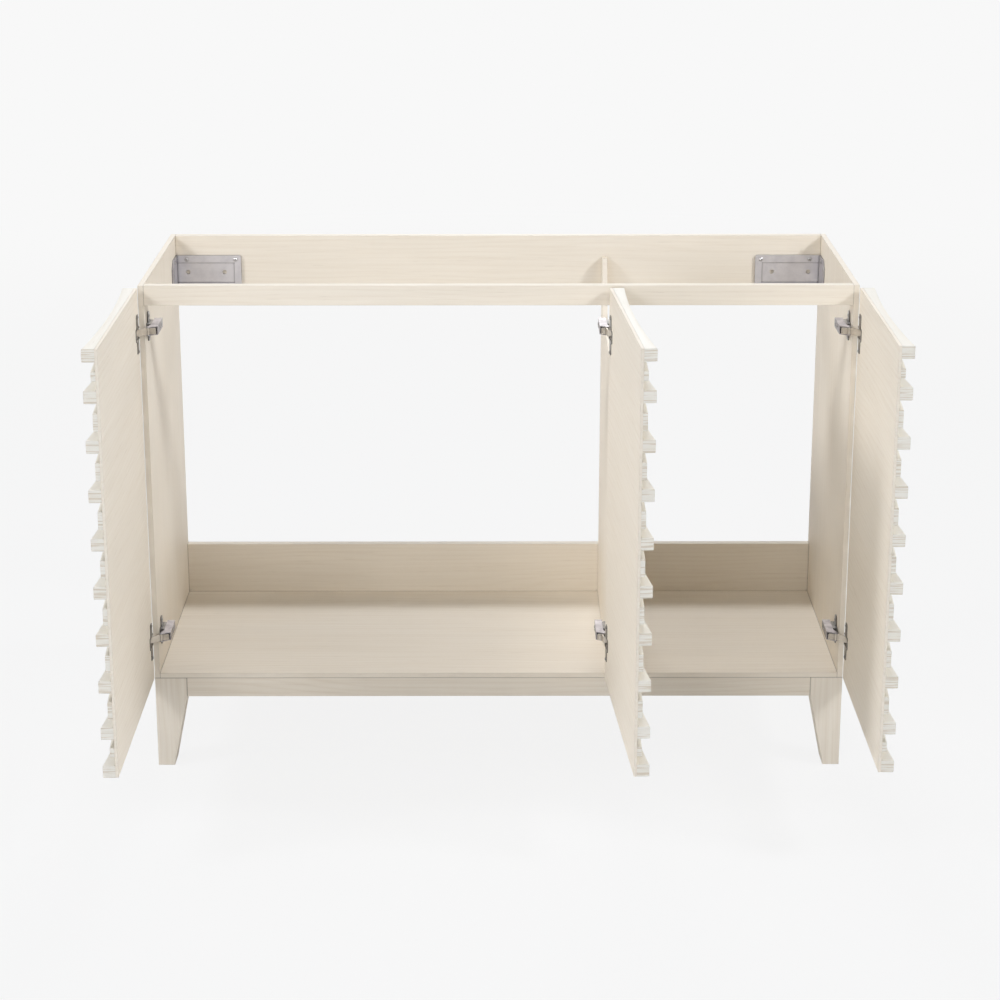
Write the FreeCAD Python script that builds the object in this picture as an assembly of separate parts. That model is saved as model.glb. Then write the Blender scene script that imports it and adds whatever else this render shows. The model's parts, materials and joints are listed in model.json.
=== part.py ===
import FreeCAD, Part
import math
import os

Vector = FreeCAD.Vector

# ---------------------------------------------------------------- sizes, mm
# Drawn with X = 0 at mid width, Y = 0 at the front edges of the panels and Z = 0 at the floor.
width = 1194.0            # over the outer faces of the side panels
height = 864.0            # floor to the top edges
depth = 418.0             # front edges to back edges
panel = 9.0               # side panels, partition and bottom shelf
rail = 15.0               # rails and aprons

# Base
base_height = 166.0       # floor to the underside of the shelf
leg_width = 55.0
leg_depth = 45.0
leg_foot = 28.7           # width of a leg at the floor
apron_height = 34.5
apron_inset = 1.0         # aprons sit this far behind the legs' faces
leg_round = 1.5
glide_thick = 2.0
glide_radius = 9.0
glide_pin_radius = 2.0
glide_pin_length = 12.0

# Corner blocks and leg bolts
corner_gap = 4.0          # from the leg's inner corner to the block
corner_thick = 21.0
corner_height = 30.0
bolt_radius = 3.0
bolt_in_leg = 30.0
bolt_drop = 16.0          # below the shelf
washer_radius = 8.0
washer_thick = 1.5
nut_radius = 5.8
nut_thick = 5.0
bolt_tail = 2.0

# Rails and partition
front_rail_height = 33.5
back_rail_height = 120.0
lower_rail_height = 95.0
partition_left = 189.0    # left face of the partition
front_tab = 62.0          # depth of the partition's front tab
notch_depth = 144.0       # top edges to the notch floor
back_tab_drop = 40.0      # top edges to the top of the back tab
back_tab_thin = 15.0      # depth of the back tab at its top
back_tab_wide = 60.0      # depth of the back tab at the notch floor
notch_round = 12.0

# Dowels
dowel_radius = 3.0
thin_dowel_radius = 2.5
dowel_in_panel = 6.0
dowel_in_rail = 20.0
apron_dowel_half = 15.0
dowel_margin = 9.5        # from a rail's edge to its first dowel
back_dowel_margin = 22.0
shelf_dowel_margin = 60.0

# Corner brackets
bracket_long = 119.0
bracket_short = 60.0
bracket_drop = 36.0       # top edges to the bracket's top
bracket_height = 64.0
bracket_thick = 2.5
bracket_slant = 14.0
bracket_corner = 3.0
border_rise = 1.6         # the raised border stands this far off the middle of the long leg
border_width = 13.0       # along the long leg's upper and lower edges
border_end = 12.0
wall_hole_radius = 4.0
wall_hole_first = 22.0
wall_hole_spacing = 66.5
wall_hole_up = 33.0
slit_width = 3.0
slit_height = 34.0
slit_from_corner = 46.0
bracket_screw_in = 7.5
bracket_screw_near = 20.0
bracket_screw_far = 109.0

# Screws shared by the brackets, hinge plates and cups
screw_radius = 1.6
screw_head_radius = 3.2
screw_head = 1.5
panel_screw_length = 6.5
rail_screw_length = 11.0
cup_screw_length = 9.5
point_length = 2.0

# Doors
door_gap = 5.0            # closed doors stand this far in front of the front edges
door_lower_gap = 1.5      # doors' lower edges above the underside of the shelf
door_upper_gap = 3.0      # doors' upper edges below the top edges
left_door_width = 401.0
middle_door_width = 399.6
right_door_width = 383.7
backing = 4.6
bar_proud = 19.7          # at the door's edges
slat_proud = 7.2          # at the door's edges
bow = 8.0                 # bars bow in and slats bow out by this at mid width
bar_height = 20.0
bar_count = 10
end_pitch = 64.4          # from an end bar to its neighbour, centre to centre
slat_gap = 15.0
edge_break = 0.8

# Concealed hinges
pin_off_panel = 5.0
pin_ahead = 0.5           # in front of the front edges
pin_radius = 1.25
pin_length = 16.2
eye_radius = 2.6
eye_bore = 1.32
link_thick = 2.0
link_height = 11.4
offset_axis = 11.3        # middle door: swing axis from its hinge edge and inner face
middle_open = 94.0        # degrees the middle door stands open
side_travel = 100.0       # degrees from closed to fully open
middle_travel = 97.0
side_link = [(16.0, 18.0)]
middle_link = [(2.5, -5.0), (12.5, -4.0), (16.5, 11.5)]
tip_pin_radius = 1.2
tip_pin_length = 13.6
running = 0.08            # clearance of the tip pin in its curved slot
guide_space = 0.4         # between a link and the cup's guide plates
guide_thick = 1.2
arm_reach = 62.0          # behind the front edges
arm_front = 6.0
arm_off = 21.0            # outer face of the arm from the panel
arm_low = 8.0
arm_sheet = 1.5
arm_half = 7.5
plate_thick = 2.0
plate_centre = 37.0
plate_length = 38.0
plate_half = 8.0
wing_length = 14.0
wing_half = 25.0
wing_screw = 18.0
boss_slope = 4.0
boss_start = 24.0
boss_end = 58.0
arm_screw_places = (34.0, 48.0)
arm_screw_length = 8.0
cup_half = 9.0
cup_wall = 1.2
cup_corner = 2.0
flange = 1.2
flange_half = 11.0
flange_reach = 3.0
flange_edge = 1.0
ear_half_width = 8.0
ear_half = 33.0
ear_screw = 29.0
ear_round = 4.0
side_pocket = (2.6, 31.8, 15.4)      # start and end from the hinge edge, and depth
middle_pocket = (5.6, 41.2, 15.2)

# ---------------------------------------------------------------- derived places
half_width = width / 2
inner_half = half_width - panel
shelf_top = base_height + panel
back_face = depth - rail              # front faces of the back rails
front_rail_bottom = height - front_rail_height
notch_floor = height - notch_depth
back_tab_top = height - back_tab_drop
bracket_top = height - bracket_drop
bracket_bottom = bracket_top - bracket_height
leg_inner = half_width - leg_width
apron_bottom = base_height - apron_height
partition_right = partition_left + panel
middle_pin_x = partition_left - pin_off_panel
middle_axis_x = middle_pin_x + offset_axis
middle_axis_y = -door_gap - offset_axis
door_bottom = base_height + door_lower_gap
door_top = height - door_upper_gap
bar_pitch = (door_top - door_bottom - bar_height - 2 * end_pitch) / (bar_count - 3)
bar_rise = [0.0, end_pitch]
for step in range(bar_count - 3):
    bar_rise.append(bar_rise[-1] + bar_pitch)
bar_rise.append(bar_rise[-1] + end_pitch)
bar_centres = [door_bottom + bar_height / 2 + rise for rise in bar_rise]
hinge_heights = [bar_centres[1], bar_centres[-2]]
origin = Vector(0, 0, 0)
up = Vector(0, 0, 1)


# ---------------------------------------------------------------- making shapes
def box(x0, x1, y0, y1, z0, z1):
    return Part.makeBox(x1 - x0, y1 - y0, z1 - z0, Vector(x0, y0, z0))


def outline(points, travel):
    """A closed outline of straight lines, pushed along a vector."""
    return Part.Face(Part.makePolygon(points + [points[0]])).extrude(travel)


def plan(points, z0, z1):
    """An outline drawn in plan, given height."""
    return outline([Vector(x, y, z0) for x, y in points], Vector(0, 0, z1 - z0))


def rod(radius, start, end):
    axis = end - start
    return Part.makeCylinder(radius, axis.Length, start, axis)


def mirrored_x(shape):
    return shape.mirror(origin, Vector(1, 0, 0))


def mirrored_y(shape):
    return shape.mirror(Vector(0, depth / 2, 0), Vector(0, 1, 0))


def joined(shapes):
    return shapes[0].fuse(shapes[1:]).removeSplitter()


def along(shape, direction):
    """The straight edges of a shape that run along a direction."""
    found = []
    for edge in shape.Edges:
        if len(edge.Vertexes) == 2 and isinstance(edge.Curve, Part.Line):
            run = edge.Vertexes[1].Point - edge.Vertexes[0].Point
            if abs(run.normalize().dot(direction)) > 0.999:
                found.append(edge)
    return found


def rounded_plate(u0, u1, half, corner, d0, d1):
    """A plate lying on the door's face, its four corners rounded."""
    plate = box(u0, u1, d0, d1, -half, half)
    return plate.makeFillet(corner, along(plate, Vector(0, 1, 0)))


def screw(length, seat, direction):
    """A pan-headed screw: the head stands on the seat, the shank runs along the direction."""
    outer = screw_head_radius
    profile = [
        Vector(0, 0, -screw_head),
        Vector(outer * 0.6, 0, -screw_head),
        Vector(outer, 0, -screw_head * 0.4),
        Vector(outer, 0, 0),
        Vector(screw_radius, 0, 0),
        Vector(screw_radius, 0, length - point_length),
        Vector(0, 0, length),
    ]
    face = Part.Face(Part.makePolygon(profile + [profile[0]]))
    body = face.revolve(origin, up, 360)
    body.Placement = FreeCAD.Placement(seat, FreeCAD.Rotation(up, direction))
    return body


def cut_by(shape, tools):
    return shape.cut(Part.makeCompound(tools))


# ---------------------------------------------------------------- base
leg_outline = [
    Vector(-half_width, 0, glide_thick),
    Vector(-half_width + leg_foot, 0, glide_thick),
    Vector(-leg_inner, 0, apron_bottom),
    Vector(-leg_inner, 0, base_height),
    Vector(-half_width, 0, base_height),
]
leg = outline(leg_outline, Vector(0, leg_depth, 0))
leg = leg.makeFillet(leg_round, [e for e in leg.Edges if e.BoundBox.ZMax < base_height - 1
                                 and e.BoundBox.YLength < 1 and e.BoundBox.ZLength > 1])
glide_x = -half_width + leg_foot / 2
glide = Part.makeCylinder(glide_radius, glide_thick, Vector(glide_x, leg_depth / 2, 0))
glide = glide.fuse(Part.makeCylinder(glide_pin_radius, glide_pin_length,
                                     Vector(glide_x, leg_depth / 2, glide_thick)))
glide = glide.removeSplitter()

front_apron = box(-leg_inner, leg_inner, apron_inset, apron_inset + rail, apron_bottom, base_height)
side_apron = box(-half_width + apron_inset, -half_width + apron_inset + rail,
                 leg_depth, depth - leg_depth, apron_bottom, base_height)

# The block crosses the corner at 45 degrees between the two aprons.
reach = leg_width + leg_depth + corner_gap * 2 ** 0.5
far_reach = reach + corner_thick * 2 ** 0.5
inside = apron_inset + rail
corner_block = plan([(-half_width + reach - inside, inside), (-half_width + far_reach - inside, inside),
                     (-half_width + inside, far_reach - inside), (-half_width + inside, reach - inside)],
                    base_height - corner_height, base_height)
leg_corner = Vector(-leg_inner, leg_depth, base_height - bolt_drop)
slant = Vector(1, 1, 0).normalize()
block_back = leg_corner + slant * (corner_gap + corner_thick)
bolt = rod(bolt_radius, leg_corner - slant * bolt_in_leg,
           block_back + slant * (washer_thick + nut_thick + bolt_tail))
washer = rod(washer_radius, block_back, block_back + slant * washer_thick)
nut_points = []
for corner in range(6):
    spoke = FreeCAD.Rotation(slant, 60.0 * corner).multVec(up) * nut_radius
    nut_points.append(block_back + slant * washer_thick + spoke)
nut = outline(nut_points, slant * nut_thick)
leg_bolt = joined([bolt, washer, nut])
corner_block = corner_block.cut(bolt)

# Dowels between aprons and legs, for one corner
apron_mid = apron_inset + rail / 2
corner_dowels = []
for dowel_z in (apron_bottom + dowel_margin, base_height - dowel_margin):
    corner_dowels.append(rod(dowel_radius, Vector(-leg_inner - apron_dowel_half, apron_mid, dowel_z),
                             Vector(-leg_inner + apron_dowel_half, apron_mid, dowel_z)))
    corner_dowels.append(rod(dowel_radius,
                             Vector(-half_width + apron_mid, leg_depth - apron_dowel_half, dowel_z),
                             Vector(-half_width + apron_mid, leg_depth + apron_dowel_half, dowel_z)))


def four(shape):
    """The same piece at all four corners of the base."""
    back = mirrored_y(shape)
    return [shape, mirrored_x(shape), back, mirrored_x(back)]


apron_dowels = []
for dowel in corner_dowels:
    apron_dowels += four(dowel)
glides = four(glide)
leg_bolts = four(leg_bolt)
corner_blocks = four(corner_block)
legs = [cut_by(one, apron_dowels + glides + leg_bolts) for one in four(leg)]
front_apron = cut_by(front_apron, apron_dowels)
back_apron = mirrored_y(front_apron)
side_apron = cut_by(side_apron, apron_dowels)

# ---------------------------------------------------------------- carcass
bottom_shelf = box(-inner_half, inner_half, 0, depth, base_height, shelf_top)
right_side = box(inner_half, half_width, 0, depth, base_height, height)
front_rail = box(-inner_half, inner_half, 0, rail, front_rail_bottom, height)
back_rail = box(-inner_half, inner_half, back_face, depth, height - back_rail_height, height)
lower_rail = box(-inner_half, inner_half, back_face, depth, shelf_top, shelf_top + lower_rail_height)

tab_back = back_face - back_tab_wide
partition_outline = [
    Vector(partition_left, 0, shelf_top),
    Vector(partition_left, back_face, shelf_top),
    Vector(partition_left, back_face, back_tab_top),
    Vector(partition_left, back_face - back_tab_thin, back_tab_top),
    Vector(partition_left, tab_back, notch_floor),
    Vector(partition_left, front_tab, notch_floor),
    Vector(partition_left, front_tab, front_rail_bottom),
    Vector(partition_left, 0, front_rail_bottom),
]
partition = outline(partition_outline, Vector(panel, 0, 0))
partition = partition.makeFillet(notch_round, [
    edge for edge in along(partition, Vector(1, 0, 0))
    if abs(edge.BoundBox.ZMax - notch_floor) < 1])

rail_dowels = []
for dowel_y, low, high, margin in (
        (rail / 2, front_rail_bottom, height, dowel_margin),
        (depth - rail / 2, height - back_rail_height, height, back_dowel_margin),
        (depth - rail / 2, shelf_top, shelf_top + lower_rail_height, back_dowel_margin)):
    for dowel_z in (low + margin, high - margin):
        dowel = rod(dowel_radius, Vector(inner_half - dowel_in_rail, dowel_y, dowel_z),
                    Vector(inner_half + dowel_in_panel, dowel_y, dowel_z))
        rail_dowels += [dowel, mirrored_x(dowel)]
panel_dowels = []
shelf_mid = base_height + panel / 2
for dowel_y in (shelf_dowel_margin, depth / 2, depth - shelf_dowel_margin):
    dowel = rod(thin_dowel_radius, Vector(inner_half - dowel_in_rail, dowel_y, shelf_mid),
                Vector(inner_half + dowel_in_panel, dowel_y, shelf_mid))
    panel_dowels += [dowel, mirrored_x(dowel)]
    panel_dowels.append(rod(thin_dowel_radius,
                            Vector(partition_left + panel / 2, dowel_y, shelf_top - dowel_in_panel),
                            Vector(partition_left + panel / 2, dowel_y, shelf_top + dowel_in_rail)))

# ---------------------------------------------------------------- corner brackets
long_leg = box(-inner_half, -inner_half + bracket_long, back_face - bracket_thick, back_face,
               bracket_bottom, bracket_top)
short_leg = outline([
    Vector(-inner_half, back_face, bracket_bottom),
    Vector(-inner_half, back_face - bracket_short, bracket_bottom),
    Vector(-inner_half, back_face - bracket_short, bracket_top - bracket_slant),
    Vector(-inner_half, back_face - bracket_short + bracket_slant, bracket_top),
    Vector(-inner_half, back_face, bracket_top)], Vector(bracket_thick, 0, 0))
border_face = back_face - bracket_thick - border_rise
border = box(-inner_half, -inner_half + bracket_long, border_face, back_face,
             bracket_bottom, bracket_top)
border = border.cut(box(-inner_half, -inner_half + bracket_long - border_end, border_face, back_face,
                        bracket_bottom + border_width, bracket_top - border_width))
left_bracket = joined([long_leg, short_leg, border])
left_bracket = left_bracket.makeFillet(bracket_corner, [
    edge for edge in along(left_bracket, Vector(0, 1, 0))
    if edge.BoundBox.XMin > -inner_half + bracket_long - 1])
openings = [box(-inner_half, -inner_half + bracket_thick,
                back_face - slit_from_corner - slit_width, back_face - slit_from_corner,
                bracket_top - bracket_slant - slit_height, bracket_top - bracket_slant)]
for step in range(2):
    hole_x = -inner_half + wall_hole_first + step * wall_hole_spacing
    openings.append(rod(wall_hole_radius, Vector(hole_x, border_face, bracket_bottom + wall_hole_up),
                        Vector(hole_x, back_face, bracket_bottom + wall_hole_up)))
left_bracket = cut_by(left_bracket, openings)
bracket_screws = []
for screw_z in (bracket_bottom + bracket_screw_in, bracket_top - bracket_screw_in):
    for screw_x in (bracket_screw_near, bracket_screw_far):
        bracket_screws.append(screw(rail_screw_length,
                                    Vector(-inner_half + screw_x, border_face, screw_z),
                                    Vector(0, 1, 0)))
    bracket_screws.append(screw(panel_screw_length,
                                Vector(-inner_half + bracket_thick,
                                       back_face - bracket_short / 2, screw_z),
                                Vector(-1, 0, 0)))
bracket_screws += [mirrored_x(one) for one in bracket_screws]
left_bracket = cut_by(left_bracket, bracket_screws)
right_bracket = mirrored_x(left_bracket)

# ---------------------------------------------------------------- hinge parts on the carcass
# Drawn against a panel face at X = 0 with the hinge on its left, at Z = 0.
cheek_outline = [(-arm_off, arm_reach), (-arm_off, arm_front), (-pin_off_panel - 1.5, -pin_ahead - 2.1),
                 (-pin_off_panel + 2.0, -pin_ahead + 1.7), (-arm_low, boss_start - 10),
                 (-arm_low, arm_reach)]
pin_place = Vector(-pin_off_panel, -pin_ahead, 0)
arm_pieces = [box(-arm_off, -arm_off + arm_sheet, arm_front, arm_reach, -arm_half, arm_half)]
for low in (-arm_half, arm_half - arm_sheet):
    arm_pieces.append(plan(cheek_outline, low, low + arm_sheet))
    arm_pieces.append(Part.makeCylinder(eye_radius, arm_sheet, pin_place + up * low))
arm = joined(arm_pieces)
hinge_pin = Part.makeCylinder(pin_radius, pin_length, pin_place - up * (pin_length / 2))
boss_half = arm_half - arm_sheet
cross = [box(-plate_thick, 0, plate_centre - plate_length / 2, plate_centre + plate_length / 2,
             -plate_half, plate_half),
         box(-plate_thick, 0, plate_centre - wing_length / 2, plate_centre + wing_length / 2,
             -wing_half, wing_half)]
cross = [one.makeFillet(ear_round, along(one, Vector(1, 0, 0))) for one in cross]
boss = plan([(-plate_thick, boss_start), (-arm_off + arm_sheet, boss_start + boss_slope),
             (-arm_off + arm_sheet, boss_end - boss_slope), (-plate_thick, boss_end)],
            -boss_half, boss_half)
plate = joined(cross + [boss])
arm_screws = [screw(arm_screw_length, Vector(-arm_off, place, 0), Vector(1, 0, 0))
              for place in arm_screw_places]
plate_screws = [screw(panel_screw_length + plate_thick, Vector(-plate_thick, plate_centre, place),
                      Vector(1, 0, 0)) for place in (-wing_screw, wing_screw)]
arm = cut_by(arm, arm_screws + [hinge_pin])
plate = cut_by(plate, arm_screws + plate_screws)


def moved(shape, x, y, z):
    copy = shape.copy()
    copy.translate(Vector(x, y, z))
    return copy


def at_hinges(shape, face_x):
    """One copy at each hinge height, against a panel face."""
    return [moved(shape, face_x, 0, z) for z in hinge_heights]


def at_all_hinges(shapes):
    """Copies at the six hinges: both sides and the partition."""
    found = []
    for shape in shapes:
        right = at_hinges(shape, inner_half)
        found += [mirrored_x(one) for one in right] + right + at_hinges(shape, partition_left)
    return found


all_plate_screws = at_all_hinges(plate_screws)
all_arm_screws = at_all_hinges(arm_screws)
all_pins = at_all_hinges([hinge_pin])

left_side = cut_by(mirrored_x(right_side), rail_dowels + panel_dowels + bracket_screws
                   + all_plate_screws)
right_side = cut_by(right_side, rail_dowels + panel_dowels + bracket_screws + all_plate_screws)
bottom_shelf = cut_by(bottom_shelf, panel_dowels)
partition = cut_by(partition, panel_dowels + all_plate_screws)
front_rail = cut_by(front_rail, rail_dowels)
back_rail = cut_by(back_rail, rail_dowels + bracket_screws)
lower_rail = cut_by(lower_rail, rail_dowels)


# ---------------------------------------------------------------- doors
# A door is drawn lying along X from its hinge edge, inner face at Y = 0, outer side towards +Y.
def bowed_strip(length, ends, middle, z0, z1):
    """A strip on the backing whose front is an arc in plan; its two long edges are broken."""
    lines = [Vector(0, backing + ends, z0), Vector(0, backing, z0),
             Vector(length, backing, z0), Vector(length, backing + ends, z0)]
    arc = Part.Arc(lines[3], Vector(length / 2, backing + middle, z0), lines[0]).toShape()
    wire = Part.Wire(Part.makePolygon(lines).Edges + [arc])
    strip = Part.Face(wire).extrude(Vector(0, 0, z1 - z0))
    arcs = [edge for edge in strip.Edges if isinstance(edge.Curve, Part.Circle)]
    return strip.makeChamfer(edge_break, arcs)


def curved_slot(axis_place, pin_place, tip, travel):
    """The way of a link's tip pin through the cup as the door turns about its axis."""
    arm_x = pin_place[0] - axis_place[0]
    arm_y = pin_place[1] - axis_place[1]
    radius = math.hypot(arm_x, arm_y)
    closed = math.degrees(math.atan2(arm_y, arm_x))
    centre = Vector(axis_place[0] + tip[0], axis_place[1] + tip[1], -cup_half)
    half = tip_pin_radius + running
    tall = 2 * cup_half
    sector = Part.makeCylinder(radius + half, tall, centre, up, travel)
    sector = sector.cut(Part.makeCylinder(radius - half, tall, centre, up))
    sector.rotate(centre, up, closed - travel)
    ends = []
    for angle in (closed, closed - travel):
        spoke = FreeCAD.Rotation(up, angle).multVec(Vector(radius, 0, 0))
        ends.append(Part.makeCylinder(half, tall, centre + spoke))
    return sector.fuse(ends)


def make_cup(pocket, slot):
    """Flange, pocket and slotted guide plates of one cup; its mouth is open to the hinge edge."""
    start, end, pocket_depth = pocket
    middle = (start + end) / 2
    body = rounded_plate(start - cup_wall, end + cup_wall, cup_half, cup_corner + cup_wall,
                         0, pocket_depth + cup_wall)
    centre = rounded_plate(flange_edge, end + flange_reach, flange_half, ear_round, -flange, 0)
    ears = rounded_plate(middle - ear_half_width, middle + ear_half_width, ear_half, ear_round,
                         -flange, 0)
    mouth = box(-1, end - cup_corner, -flange, 0, -cup_half + cup_wall, cup_half - cup_wall)
    hollow = rounded_plate(start, end, cup_half - cup_wall, cup_corner, -flange, pocket_depth)
    shell = joined([body, centre, ears]).cut(Part.makeCompound([mouth, hollow]))
    near = link_height / 2 + guide_space
    guides = []
    for low in (near, -near - guide_thick):
        guide = box(start - cup_wall / 2, end + cup_wall / 2, 0, pocket_depth + cup_wall / 2,
                    low, low + guide_thick)
        guides.append(guide.cut(slot))
    return joined([shell] + guides), body, middle


def make_door(length, pocket, slot):
    cup, pocket_body, middle = make_cup(pocket, slot)
    screws = [screw(cup_screw_length, Vector(middle, -flange, place), Vector(0, 1, 0))
              for place in (-ear_screw, ear_screw)]
    cup = cup.cut(Part.makeCompound(screws))
    pieces = {"hinge_cups": [moved(cup, 0, 0, z) for z in hinge_heights]}
    pieces["cup_screws"] = [moved(one, 0, 0, z) for z in hinge_heights for one in screws]
    pockets = [moved(pocket_body, 0, 0, z) for z in hinge_heights]
    tools = Part.makeCompound(pockets + pieces["cup_screws"])
    pieces["door_panel"] = [box(0, length, 0, backing, door_bottom, door_top).cut(tools)]
    bars = [bowed_strip(length, bar_proud, bar_proud - bow, z - bar_height / 2, z + bar_height / 2)
            for z in bar_centres]
    slats = []
    for low, high in zip(bar_centres[:-1], bar_centres[1:]):
        slats.append(bowed_strip(length, slat_proud, slat_proud + bow,
                                 low + bar_height / 2 + slat_gap, high - bar_height / 2 - slat_gap))
    pieces["door_bars"] = [one.cut(tools) for one in bars]
    pieces["door_slats"] = [one.cut(tools) for one in slats]
    return pieces


def make_link(points):
    """A bent strap from its eye on the pin to its tip in the cup."""
    pieces = [Part.makeCylinder(eye_radius, link_height, Vector(0, 0, -link_height / 2))]
    before = Vector(0, 0, -link_height / 2)
    for x, y in points:
        after = Vector(x, y, -link_height / 2)
        run = after - before
        across = Vector(-run.y, run.x, 0).normalize() * (link_thick / 2)
        pieces.append(outline([before + across, after + across, after - across, before - across],
                              Vector(0, 0, link_height)))
        pieces.append(Part.makeCylinder(link_thick / 2, link_height, after))
        before = after
    pieces.append(Part.makeCylinder(tip_pin_radius, tip_pin_length,
                                    Vector(before.x, before.y, -tip_pin_length / 2)))
    bore = Part.makeCylinder(eye_bore, link_height, Vector(0, 0, -link_height / 2))
    return joined(pieces).cut(bore)


def swung(shape, edge_x, edge_y):
    """Turned from lying closed to standing open at a right angle on the right-hand side."""
    copy = shape.copy()
    copy.rotate(origin, up, -90)
    copy.translate(Vector(edge_x, edge_y, 0))
    return copy


def swung_middle(shape, edge_x, edge_y, turn_x, turn_y):
    copy = swung(shape, edge_x, edge_y)
    copy.rotate(Vector(turn_x, turn_y, 0), up, middle_open - 90)
    return copy


nodes = {}
side_link_shape = make_link(side_link)
middle_link_shape = make_link(middle_link)
side_pin_x = inner_half - pin_off_panel
right_links = []
middle_links = []
for z in hinge_heights:
    right_links.append(moved(swung(side_link_shape, side_pin_x, -pin_ahead), 0, 0, z))
    middle_links.append(moved(swung_middle(middle_link_shape, middle_pin_x, -pin_ahead,
                                           middle_pin_x, -pin_ahead), 0, 0, z))
nodes["left_hinge_links"] = [mirrored_x(one) for one in right_links]
nodes["middle_hinge_links"] = middle_links
nodes["right_hinge_links"] = right_links

pin_behind = pin_ahead - door_gap        # link pins lie this far above the closed doors' inner face
side_slot = curved_slot((0.0, 0.0), (panel + pin_off_panel, pin_behind), side_link[-1], side_travel)
middle_slot = curved_slot((offset_axis, offset_axis), (2 * offset_axis, pin_behind),
                          middle_link[-1], middle_travel)
for name, pieces in make_door(left_door_width, side_pocket, side_slot).items():
    nodes["left_" + name] = [mirrored_x(swung(one, half_width, -door_gap)) for one in pieces]
for name, pieces in make_door(right_door_width, side_pocket, side_slot).items():
    nodes["right_" + name] = [swung(one, half_width, -door_gap) for one in pieces]
for name, pieces in make_door(middle_door_width, middle_pocket, middle_slot).items():
    nodes["middle_" + name] = [swung_middle(one, middle_pin_x, -door_gap, middle_axis_x, middle_axis_y)
                               for one in pieces]

# ---------------------------------------------------------------- all pieces by name
nodes["left_side"] = [left_side]
nodes["right_side"] = [right_side]
nodes["partition"] = [partition]
nodes["bottom_shelf"] = [bottom_shelf]
nodes["top_front_rail"] = [front_rail]
nodes["top_back_rail"] = [back_rail]
nodes["lower_back_rail"] = [lower_rail]
nodes["front_apron"] = [front_apron]
nodes["back_apron"] = [back_apron]
nodes["left_apron"] = [side_apron]
nodes["right_apron"] = [mirrored_x(side_apron)]
for name, shape in zip(("left_front_leg", "right_front_leg", "left_back_leg", "right_back_leg"), legs):
    nodes[name] = [shape]
nodes["foot_glides"] = glides
nodes["corner_blocks"] = corner_blocks
nodes["leg_bolts"] = leg_bolts
nodes["apron_dowels"] = apron_dowels
nodes["rail_dowels"] = rail_dowels
nodes["panel_dowels"] = panel_dowels
nodes["left_corner_bracket"] = [left_bracket]
nodes["right_corner_bracket"] = [right_bracket]
nodes["bracket_screws"] = bracket_screws
nodes["plate_screws"] = all_plate_screws
nodes["arm_screws"] = all_arm_screws
nodes["hinge_pins"] = all_pins
for name, shape in (("hinge_plates", plate), ("hinge_arms", arm)):
    right = at_hinges(shape, inner_half)
    nodes["right_" + name] = right
    nodes["left_" + name] = [mirrored_x(one) for one in right]
    nodes["middle_" + name] = at_hinges(shape, partition_left)

# The frame's origin is on the floor under the middle of the box round the open cabinet.
to_frame = Vector(0, (door_gap + left_door_width - depth) / 2, 0)
os.makedirs("parts", exist_ok=True)
for name, shapes in nodes.items():
    whole = shapes[0].copy() if len(shapes) == 1 else Part.makeCompound(shapes)
    whole.translate(to_frame)
    whole.exportStep("parts/" + name + ".step")
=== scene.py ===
import json
import math

import bmesh
import bpy
from mathutils import Matrix, Vector


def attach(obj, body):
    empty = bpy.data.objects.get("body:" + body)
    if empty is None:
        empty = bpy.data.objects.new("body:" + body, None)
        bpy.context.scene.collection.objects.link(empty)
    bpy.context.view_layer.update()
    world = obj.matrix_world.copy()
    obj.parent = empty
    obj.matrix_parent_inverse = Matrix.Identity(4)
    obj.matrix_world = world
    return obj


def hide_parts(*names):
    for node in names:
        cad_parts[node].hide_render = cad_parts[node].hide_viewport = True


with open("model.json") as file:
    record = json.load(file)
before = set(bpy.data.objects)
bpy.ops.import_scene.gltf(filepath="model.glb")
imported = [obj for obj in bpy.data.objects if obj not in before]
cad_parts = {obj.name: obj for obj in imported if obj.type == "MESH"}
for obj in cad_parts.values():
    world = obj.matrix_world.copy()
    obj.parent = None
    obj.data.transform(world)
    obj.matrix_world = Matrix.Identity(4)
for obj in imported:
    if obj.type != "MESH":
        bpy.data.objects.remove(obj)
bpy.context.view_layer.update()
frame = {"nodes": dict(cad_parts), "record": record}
nodes = frame["nodes"]

# ---------------------------------------------------------------- sizes, metres
# The carcass: the front edges of its panels, the left face of its partition, and the inner
# and outer faces of its sides from the middle.
FRONT = -0.006
PARTITION_FACE = 0.189
SIDE_INNER = 0.588
SIDE_OUTER = 0.597

# Where pieces meet, as an axis and a distance from the middle: rails against the sides,
# aprons against the legs, and the top of the base.
SIDE_JOINT = ("X", SIDE_INNER)
LEG_JOINT = ("X", 0.542)
FRONT_LEG_JOINT = ("Y", 0.039)
BACK_LEG_JOINT = ("Y", 0.367)
BASE_JOINT = ("Z", 0.166)

# Doors, drawn lying along X from the hinge edge with the outer side towards +Y. The bars
# bow in at mid width and the slats between them bow out by as much.
DOOR_GAP = 0.005
DOOR_BOTTOM = 0.1675
DOOR_TOP = 0.861
DOOR_WIDTHS = {"left": 0.401, "middle": 0.3996, "right": 0.3837}
BACKING = 0.0046
BAR_PROUD = 0.0197
BAR_HEIGHT = 0.020
BAR_COUNT = 10
END_PITCH = 0.0644
SLAT_PROUD = 0.0072
SLAT_GAP = 0.015
BOW = 0.008
STRIP_ROUND = 0.0012
STRIP_POINTS = 49

# The middle door stands open a few degrees past square, turned about its own axis.
MIDDLE_TURN = math.radians(4.0)
MIDDLE_AXIS = (0.1953, FRONT - 0.0163)

# Pockets for the hinge cups: where each starts and ends from the hinge edge of its door.
POCKETS = {"left": (0.0014, 0.033), "middle": (0.0044, 0.0424), "right": (0.0014, 0.033)}
POCKET_DEPTH = 0.0166
POCKET_HALF = 0.009

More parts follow.
